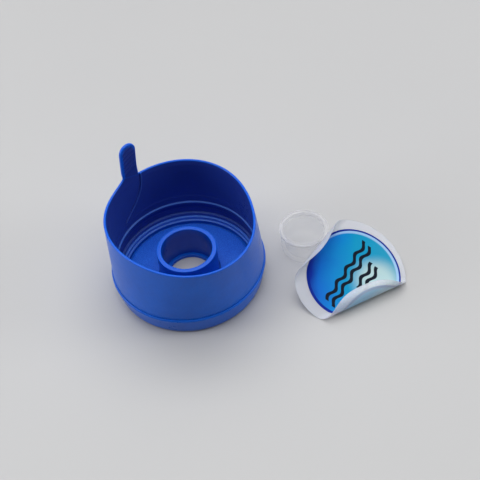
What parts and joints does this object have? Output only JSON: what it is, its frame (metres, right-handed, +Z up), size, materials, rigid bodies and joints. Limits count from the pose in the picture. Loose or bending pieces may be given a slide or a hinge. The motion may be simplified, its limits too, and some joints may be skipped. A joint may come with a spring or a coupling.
{
  "type": "non-spill water bottle cap with plug and label",
  "caption": "Push-on non-spill cap for a wide-neck water bottle, upside down with its pull tab up, its cup plug and its peeled round label beside it.",
  "frame": {"origin": "centre of the probe hole at the crown's outer face, which stands on the table", "axes": "+Z up along the cap's axis out of its open end, +X towards the plug and the label"},
  "size_m": [0.1161, 0.0618, 0.0523],
  "materials": {
    "cap_plastic": "satin low-density polyethylene",
    "liner_foam": "fine-celled foam",
    "plug_plastic": "milky translucent",
    "label_film": "printed film, clear margin"
  },
  "bodies": {
    "cap": {"crown": "cap_plastic", "skirt": "cap_plastic", "probe_tube": "cap_plastic", "foam_liner": "liner_foam"},
    "tab": {"pull_tab": "cap_plastic"},
    "plug": {"plug": "plug_plastic"},
    "label": {"label": "label_film"}
  },
  "joints": [
    {"name": "tab_fold", "type": "hinge", "parent": "cap", "child": "tab", "pos_m": [-0.01903, 0.02267, 0.03823], "axis": [-0.766, -0.6428, 0], "range_deg": [0, 90], "stiffness_Nm_per_rad": 0.008},
    {"name": "plug_lift", "type": "slide", "parent": "cap", "child": "plug", "axis": [0, 0, 1], "range_m": [0, 0.045]},
    {"name": "label_lift", "type": "slide", "parent": "cap", "child": "label", "axis": [0, 0, 1], "range_m": [0, 0.04]}
  ]
}
